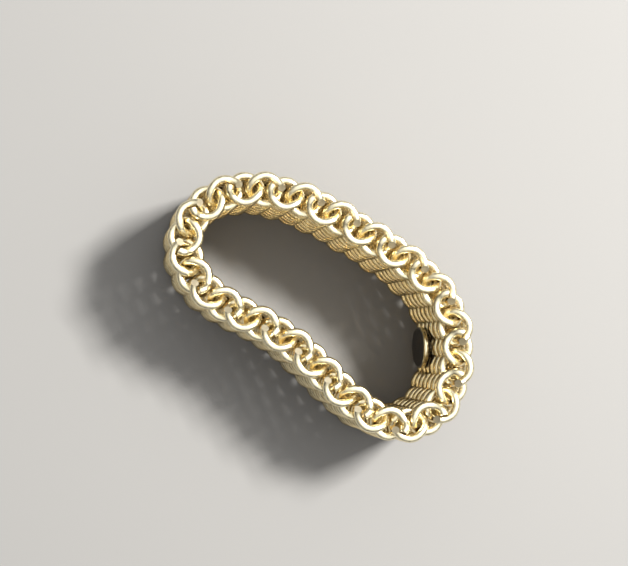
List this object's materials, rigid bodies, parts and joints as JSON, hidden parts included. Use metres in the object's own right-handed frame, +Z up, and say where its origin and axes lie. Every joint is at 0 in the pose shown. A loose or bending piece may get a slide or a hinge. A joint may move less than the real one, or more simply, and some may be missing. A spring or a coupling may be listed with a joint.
{
  "type": "flexible mesh band ring",
  "caption": "Closed flexible band of interwound oval wire coils, worn as a finger ring or handled as a fidget, with a small bare oval plate inside.",
  "frame": {"origin": "on the surface that the band stands on, at the middle of the loop's box", "axes": "+X along the long way of the laid loop, +Z up, across the band's width"},
  "size_m": [0.0278, 0.0151, 0.0104],
  "materials": {
    "coil_wire": "polished silver wire, softly worn, with darkened recesses",
    "plate_silver": "polished silver plate, bare",
    "silver_solder": "dull silver solder"
  },
  "bodies": {
    "coil_01": {"coil_01": "coil_wire"},
    "coil_02": {"coil_02": "coil_wire"},
    "coil_03": {"coil_03": "coil_wire"},
    "coil_04": {"coil_04": "coil_wire"},
    "coil_05": {"coil_05": "coil_wire"},
    "coil_06": {"coil_06": "coil_wire"},
    "coil_07": {"coil_07": "coil_wire"},
    "coil_08": {"coil_08": "coil_wire"},
    "coil_09": {"coil_09": "coil_wire"},
    "coil_10": {"coil_10": "coil_wire"},
    "coil_11": {"coil_11": "coil_wire"},
    "coil_12": {"coil_12": "coil_wire", "plate_solder": "silver_solder", "inside_plate": "plate_silver"},
    "coil_13": {"coil_13": "coil_wire"},
    "coil_14": {"coil_14": "coil_wire"},
    "coil_15": {"coil_15": "coil_wire"},
    "coil_16": {"coil_16": "coil_wire"},
    "coil_17": {"coil_17": "coil_wire"},
    "coil_18": {"coil_18": "coil_wire"},
    "coil_19": {"coil_19": "coil_wire"},
    "coil_20": {"coil_20": "coil_wire"},
    "coil_21": {"coil_21": "coil_wire"},
    "coil_22": {"coil_22": "coil_wire"},
    "coil_23": {"coil_23": "coil_wire"},
    "coil_24": {"coil_24": "coil_wire"},
    "coil_25": {"coil_25": "coil_wire"},
    "coil_26": {"coil_26": "coil_wire"},
    "coil_27": {"coil_27": "coil_wire"},
    "coil_28": {"coil_28": "coil_wire"},
    "coil_29": {"coil_29": "coil_wire"},
    "coil_30": {"coil_30": "coil_wire"},
    "coil_31": {"coil_31": "coil_wire"},
    "coil_32": {"coil_32": "coil_wire"},
    "coil_33": {"coil_33": "coil_wire"},
    "coil_34": {"coil_34": "coil_wire"},
    "coil_35": {"coil_35": "coil_wire"},
    "coil_36": {"coil_36": "coil_wire"},
    "coil_37": {"coil_37": "coil_wire"},
    "coil_38": {"coil_38": "coil_wire"}
  },
  "joints": [
    {"name": "pivot_01_02", "type": "hinge", "parent": "coil_01", "child": "coil_02", "pos_m": [-0.0048, 0.00593, 0.00519], "axis": [0, 0, 1], "range_deg": [-5.6, 1.2]},
    {"name": "pivot_02_03", "type": "hinge", "parent": "coil_02", "child": "coil_03", "pos_m": [-0.00315, 0.00608, 0.00519], "axis": [0, 0, 1], "range_deg": [-9.2, 1.9]},
    {"name": "pivot_03_04", "type": "hinge", "parent": "coil_03", "child": "coil_04", "pos_m": [-0.00151, 0.00613, 0.00519], "axis": [0, 0, 1], "range_deg": [-12.3, 2.5]},
    {"name": "pivot_04_05", "type": "hinge", "parent": "coil_04", "child": "coil_05", "pos_m": [0.00014, 0.00614, 0.00519], "axis": [0, 0, 1], "range_deg": [-13.2, 2.6]},
    {"name": "pivot_05_06", "type": "hinge", "parent": "coil_05", "child": "coil_06", "pos_m": [0.00179, 0.00613, 0.00519], "axis": [0, 0, 1], "range_deg": [-10.7, 2.2]},
    {"name": "pivot_06_07", "type": "hinge", "parent": "coil_06", "child": "coil_07", "pos_m": [0.00344, 0.00608, 0.00519], "axis": [0, 0, 1], "range_deg": [-6.6, 1.4]},
    {"name": "pivot_07_08", "type": "hinge", "parent": "coil_07", "child": "coil_08", "pos_m": [0.00509, 0.00592, 0.00519], "axis": [0, 0, 1], "range_deg": [-1.7, 0.4]},
    {"name": "pivot_08_09", "type": "hinge", "parent": "coil_08", "child": "coil_09", "pos_m": [0.0067, 0.00559, 0.00519], "axis": [0, 0, 1], "range_deg": [-0.9, 4.1]},
    {"name": "pivot_09_10", "type": "hinge", "parent": "coil_09", "child": "coil_10", "pos_m": [0.00824, 0.005, 0.00519], "axis": [0, 0, 1], "range_deg": [-1.8, 8.7]},
    {"name": "pivot_10_11", "type": "hinge", "parent": "coil_10", "child": "coil_11", "pos_m": [0.00961, 0.00409, 0.00519], "axis": [0, 0, 1], "range_deg": [-2.1, 10.3]},
    {"name": "pivot_11_12", "type": "hinge", "parent": "coil_11", "child": "coil_12", "pos_m": [0.01074, 0.00289, 0.00519], "axis": [0, 0, 1], "range_deg": [-1.7, 8.1]},
    {"name": "pivot_12_13", "type": "hinge", "parent": "coil_12", "child": "coil_13", "pos_m": [0.01162, 0.0015, 0.00519], "axis": [0, 0, 1], "range_deg": [-1, 4.9]},
    {"name": "pivot_13_14", "type": "hinge", "parent": "coil_13", "child": "coil_14", "pos_m": [0.01223, -0.00003, 0.00519], "axis": [0, 0, 1], "range_deg": [-0.8, 3.5]},
    {"name": "pivot_14_15", "type": "hinge", "parent": "coil_14", "child": "coil_15", "pos_m": [0.01254, -0.00165, 0.00519], "axis": [0, 0, 1], "range_deg": [-1.2, 5.5]},
    {"name": "pivot_15_16", "type": "hinge", "parent": "coil_15", "child": "coil_16", "pos_m": [0.01238, -0.00328, 0.00519], "axis": [0, 0, 1], "range_deg": [-1.6, 8]},
    {"name": "pivot_16_17", "type": "hinge", "parent": "coil_16", "child": "coil_17", "pos_m": [0.0116, -0.00472, 0.00519], "axis": [0, 0, 1], "range_deg": [-1.4, 6.5]},
    {"name": "pivot_17_18", "type": "hinge", "parent": "coil_17", "child": "coil_18", "pos_m": [0.01029, -0.00571, 0.00519], "axis": [0, 0, 1], "range_deg": [-0.8, 3.6]},
    {"name": "pivot_18_19", "type": "hinge", "parent": "coil_18", "child": "coil_19", "pos_m": [0.0087, -0.00612, 0.00519], "axis": [0, 0, 1], "range_deg": [-1.8, 0.4]},
    {"name": "pivot_19_20", "type": "hinge", "parent": "coil_19", "child": "coil_20", "pos_m": [0.00705, -0.00608, 0.00519], "axis": [0, 0, 1], "range_deg": [-5.6, 1.2]},
    {"name": "pivot_20_21", "type": "hinge", "parent": "coil_20", "child": "coil_21", "pos_m": [0.00543, -0.00581, 0.00519], "axis": [0, 0, 1], "range_deg": [-5.9, 1.2]},
    {"name": "pivot_21_22", "type": "hinge", "parent": "coil_21", "child": "coil_22", "pos_m": [0.00382, -0.00544, 0.00519], "axis": [0, 0, 1], "range_deg": [-5.5, 1.2]},
    {"name": "pivot_22_23", "type": "hinge", "parent": "coil_22", "child": "coil_23", "pos_m": [0.00222, -0.00504, 0.00519], "axis": [0, 0, 1], "range_deg": [-5.7, 1.2]},
    {"name": "pivot_23_24", "type": "hinge", "parent": "coil_23", "child": "coil_24", "pos_m": [0.00061, -0.00468, 0.00519], "axis": [0, 0, 1], "range_deg": [-7, 1.5]},
    {"name": "pivot_24_25", "type": "hinge", "parent": "coil_24", "child": "coil_25", "pos_m": [-0.00103, -0.00445, 0.00519], "axis": [0, 0, 1], "range_deg": [-9.1, 1.9]},
    {"name": "pivot_25_26", "type": "hinge", "parent": "coil_25", "child": "coil_26", "pos_m": [-0.00267, -0.0044, 0.00519], "axis": [0, 0, 1], "range_deg": [-9.2, 1.9]},
    {"name": "pivot_26_27", "type": "hinge", "parent": "coil_26", "child": "coil_27", "pos_m": [-0.00432, -0.00452, 0.00519], "axis": [0, 0, 1], "range_deg": [-6.2, 1.3]},
    {"name": "pivot_27_28", "type": "hinge", "parent": "coil_27", "child": "coil_28", "pos_m": [-0.00596, -0.00465, 0.00519], "axis": [0, 0, 1], "range_deg": [-3.4, 0.7]},
    {"name": "pivot_28_29", "type": "hinge", "parent": "coil_28", "child": "coil_29", "pos_m": [-0.00761, -0.00465, 0.00519], "axis": [0, 0, 1], "range_deg": [-0.2, 0.6]},
    {"name": "pivot_29_30", "type": "hinge", "parent": "coil_29", "child": "coil_30", "pos_m": [-0.00923, -0.00433, 0.00519], "axis": [0, 0, 1], "range_deg": [-0.5, 2.3]},
    {"name": "pivot_30_31", "type": "hinge", "parent": "coil_30", "child": "coil_31", "pos_m": [-0.0107, -0.0036, 0.00519], "axis": [0, 0, 1], "range_deg": [-0.8, 3.8]},
    {"name": "pivot_31_32", "type": "hinge", "parent": "coil_31", "child": "coil_32", "pos_m": [-0.01189, -0.00246, 0.00519], "axis": [0, 0, 1], "range_deg": [-1.9, 9.2]},
    {"name": "pivot_32_33", "type": "hinge", "parent": "coil_32", "child": "coil_33", "pos_m": [-0.01251, -0.00095, 0.00519], "axis": [0, 0, 1], "range_deg": [-2.3, 11.2]},
    {"name": "pivot_33_34", "type": "hinge", "parent": "coil_33", "child": "coil_34", "pos_m": [-0.01243, 0.00069, 0.00519], "axis": [0, 0, 1], "range_deg": [-1.5, 7.5]},
    {"name": "pivot_34_35", "type": "hinge", "parent": "coil_34", "child": "coil_35", "pos_m": [-0.01183, 0.00222, 0.00519], "axis": [0, 0, 1], "range_deg": [-1.5, 7.2]},
    {"name": "pivot_35_36", "type": "hinge", "parent": "coil_35", "child": "coil_36", "pos_m": [-0.01082, 0.00352, 0.00519], "axis": [0, 0, 1], "range_deg": [-1.8, 8.7]},
    {"name": "pivot_36_37", "type": "hinge", "parent": "coil_36", "child": "coil_37", "pos_m": [-0.00951, 0.0045, 0.00519], "axis": [0, 0, 1], "range_deg": [-1.3, 6.3]},
    {"name": "pivot_37_38", "type": "hinge", "parent": "coil_37", "child": "coil_38", "pos_m": [-0.00801, 0.00519, 0.00519], "axis": [0, 0, 1], "range_deg": [-0.5, 2.3]}
  ],
  "couplings": [
    {"joint": "pivot_01_02", "follows": "pivot_04_05", "ratio": 0.41541},
    {"joint": "pivot_02_03", "follows": "pivot_04_05", "ratio": 0.69078},
    {"joint": "pivot_03_04", "follows": "pivot_04_05", "ratio": 0.92403},
    {"joint": "pivot_05_06", "follows": "pivot_04_05", "ratio": 0.80253},
    {"joint": "pivot_06_07", "follows": "pivot_04_05", "ratio": 0.49479},
    {"joint": "pivot_07_08", "follows": "pivot_04_05", "ratio": 0.11848},
    {"joint": "pivot_08_09", "follows": "pivot_04_05", "ratio": -0.30561},
    {"joint": "pivot_09_10", "follows": "pivot_04_05", "ratio": -0.64933},
    {"joint": "pivot_10_11", "follows": "pivot_04_05", "ratio": -0.77546},
    {"joint": "pivot_11_12", "follows": "pivot_04_05", "ratio": -0.60946},
    {"joint": "pivot_12_13", "follows": "pivot_04_05", "ratio": -0.36005},
    {"joint": "pivot_13_14", "follows": "pivot_04_05", "ratio": -0.25905},
    {"joint": "pivot_14_15", "follows": "pivot_04_05", "ratio": -0.41026},
    {"joint": "pivot_15_16", "follows": "pivot_04_05", "ratio": -0.59506},
    {"joint": "pivot_16_17", "follows": "pivot_04_05", "ratio": -0.4862},
    {"joint": "pivot_17_18", "follows": "pivot_04_05", "ratio": -0.26695},
    {"joint": "pivot_18_19", "follows": "pivot_04_05", "ratio": 0.1284},
    {"joint": "pivot_19_20", "follows": "pivot_04_05", "ratio": 0.41706},
    {"joint": "pivot_20_21", "follows": "pivot_04_05", "ratio": 0.44101},
    {"joint": "pivot_21_22", "follows": "pivot_04_05", "ratio": 0.41213},
    {"joint": "pivot_22_23", "follows": "pivot_04_05", "ratio": 0.42351},
    {"joint": "pivot_23_24", "follows": "pivot_04_05", "ratio": 0.52047},
    {"joint": "pivot_24_25", "follows": "pivot_04_05", "ratio": 0.68278},
    {"joint": "pivot_25_26", "follows": "pivot_04_05", "ratio": 0.68944},
    {"joint": "pivot_26_27", "follows": "pivot_04_05", "ratio": 0.46275},
    {"joint": "pivot_27_28", "follows": "pivot_04_05", "ratio": 0.24883},
    {"joint": "pivot_28_29", "follows": "pivot_04_05", "ratio": -0.03528},
    {"joint": "pivot_29_30", "follows": "pivot_04_05", "ratio": -0.16562},
    {"joint": "pivot_30_31", "follows": "pivot_04_05", "ratio": -0.28162},
    {"joint": "pivot_31_32", "follows": "pivot_04_05", "ratio": -0.68634},
    {"joint": "pivot_32_33", "follows": "pivot_04_05", "ratio": -0.83917},
    {"joint": "pivot_33_34", "follows": "pivot_04_05", "ratio": -0.55718},
    {"joint": "pivot_34_35", "follows": "pivot_04_05", "ratio": -0.53997},
    {"joint": "pivot_35_36", "follows": "pivot_04_05", "ratio": -0.65241},
    {"joint": "pivot_36_37", "follows": "pivot_04_05", "ratio": -0.46938},
    {"joint": "pivot_37_38", "follows": "pivot_04_05", "ratio": -0.16675}
  ]
}
